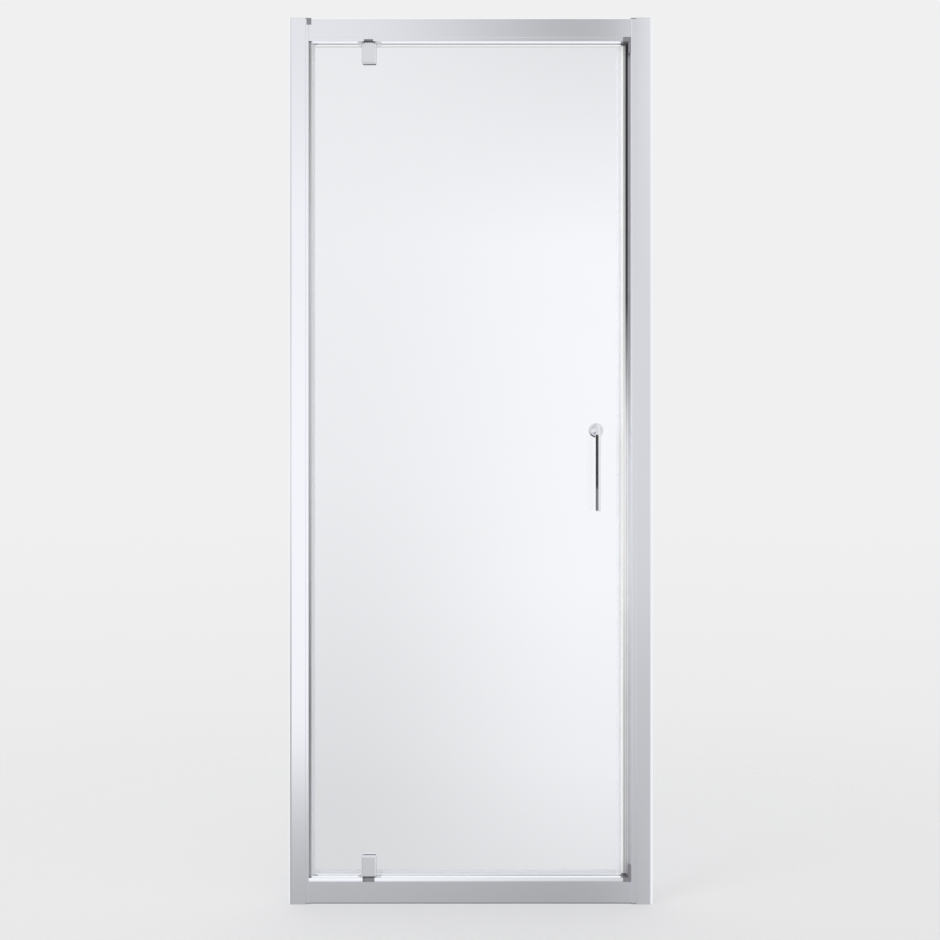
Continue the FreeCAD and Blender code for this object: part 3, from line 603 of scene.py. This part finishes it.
def lay_floor():
    """A pale floor that keeps the door's shadow, fades further out, and isn't mirrored."""
    shape = bmesh.new()
    bmesh.ops.create_grid(shape, x_segments=8, y_segments=8, size=FLOOR_REACH)
    floor = object_from("floor", shape)
    floor.location.z = -FLOOR_DROP
    material, tree, shader = start_material("studio floor")
    shader.inputs["Base Color"].default_value = tint(231, 231, 233)
    shader.inputs["Roughness"].default_value = 0.9
    shader.inputs["Specular IOR Level"].default_value = 0.1
    where = place(tree, "ShaderNodeTexCoord")
    reach = place(tree, "ShaderNodeVectorMath", operation="LENGTH")
    join(tree, where.outputs["Object"], reach.inputs[0])
    near, far = FLOOR_FADE
    keep = rescale(
        tree, reach.outputs["Value"],
        {"From Min": near, "From Max": far, "To Min": FLOOR_KEPT, "To Max": 0.0},
        interpolation_type="SMOOTHSTEP",
    )
    path = place(tree, "ShaderNodeLightPath")
    unmirrored = arithmetic(tree, "SUBTRACT", 1.0, path.outputs["Is Glossy Ray"])
    shown = arithmetic(tree, "MULTIPLY", keep, unmirrored)
    show_mixed(tree, shown, place(tree, "ShaderNodeBsdfTransparent"), shader)
    floor.data.materials.append(material)


def light_world():
    """An even pale surround, with its own tones in mirror images and behind the glass, where they
    paint the pane's shade and soft reflection.
    """
    world = bpy.data.worlds.new("studio")
    world.use_nodes = True
    bpy.context.scene.world = world
    tree = world.node_tree
    sky = tree.nodes["Background"]
    where = place(tree, "ShaderNodeTexCoord")
    split = place(tree, "ShaderNodeSeparateXYZ")
    join(tree, where.outputs["Generated"], split.inputs[0])
    x, y, z = (split.outputs[axis] for axis in "XYZ")
    height = rescale(tree, z, {"From Min": -1.0, "From Max": 1.0})

    def seen(levels):
        return ramp(tree, height, [(at, grey(level)) for at, level in levels])

    def mirrored(values):
        return ramp(tree, height, values)

    def turn(direction, edge, first, second):
        return blend_colours(tree, spread_over(tree, direction, edge), first, second)

    # Seen through the glass: the backdrop with the pane's painted shade and painted reflection.
    behind = turn(x, BEHIND_LEFT_TO_RIGHT, seen(BEHIND_AND_SHADE_LEFT), seen(BEHIND_AND_SHEEN_RIGHT))
    front = turn(x, LEFT_TO_MIDDLE, mirrored(MIRRORED_LEFT), mirrored(MIRRORED_MIDDLE))
    front = turn(x, MIDDLE_TO_RIGHT, front, mirrored(MIRRORED_RIGHT))
    front = turn(x, LEFT_TO_FAR_LEFT, front, mirrored(MIRRORED_FAR_LEFT))
    front = turn(x, RIGHT_TO_SIDE, front, MIRRORED_SIDE)
    around = turn(y, FRONT_TO_REAR, front, mirrored(MIRRORED_REAR))
    path = place(tree, "ShaderNodeLightPath")
    shown = blend_colours(tree, path.outputs["Is Glossy Ray"], PLAIN_LIGHT, around)
    shown = blend_colours(tree, path.outputs["Is Transmission Ray"], shown, behind)
    shown = blend_colours(tree, path.outputs["Is Camera Ray"], shown, seen(BACKDROP))
    join(tree, shown, sky.inputs["Color"])
    sky.inputs["Strength"].default_value = 1.0


def stand_dark_card():
    """A narrow dark card beside the handle, seen only in mirror images close by.

    It gives the bar its dark side. The pane mirrors it faintly too, in views from the left.
    """
    shape = bmesh.new()
    low, high = CARD_HEIGHTS
    corners = [(CARD_START, low), (CARD_END, low), (CARD_END, high), (CARD_START, high)]
    shape.faces.new([shape.verts.new((x, y, z)) for (x, y), z in corners])
    card = object_from("dark card", shape)
    material, tree, shader = start_material("card paint")
    shade = ramp(tree, object_axis(tree, "Z"), CARD_TONES)
    join(tree, shade, shader.inputs["Base Color"])
    shader.inputs["Roughness"].default_value = 0.95
    shader.inputs["Specular IOR Level"].default_value = 0.0
    path = place(tree, "ShaderNodeLightPath")
    beyond = arithmetic(tree, "GREATER_THAN", path.outputs["Ray Length"], CARD_SEEN_WITHIN)
    show_mixed(tree, beyond, shader, place(tree, "ShaderNodeBsdfTransparent"))
    card.data.materials.append(material)
    card.visible_camera = False
    card.visible_diffuse = False
    card.visible_transmission = False
    card.visible_shadow = False


def hang_lamp():
    """A soft lamp from the left, seen neither in metal nor in the glass."""
    lamp = bpy.data.lights.new("left soft lamp", "AREA")
    lamp.shape = "RECTANGLE"
    lamp.size, lamp.size_y = LAMP_SIZE
    lamp.energy = LAMP_POWER
    holder = bpy.data.objects.new("left soft lamp", lamp)
    holder.location = LAMP_PLACE
    towards = Vector(LAMP_AIM) - Vector(LAMP_PLACE)
    holder.rotation_euler = towards.to_track_quat("-Z", "Y").to_euler()
    holder.visible_glossy = False
    holder.visible_transmission = False
    bpy.context.collection.objects.link(holder)


def set_camera():
    camera = bpy.data.cameras.new("front view")
    camera.sensor_width = SENSOR_WIDTH
    camera.lens = FOCAL_PIXELS / PICTURE_PIXELS * SENSOR_WIDTH
    holder = bpy.data.objects.new("front view", camera)
    holder.location = CAMERA_PLACE
    holder.rotation_euler = (math.pi / 2, 0, 0)
    bpy.context.collection.objects.link(holder)
    bpy.context.scene.camera = holder


lay_floor()
light_world()
stand_dark_card()
hang_lamp()
set_camera()
bpy.context.scene.view_settings.view_transform = "Standard"
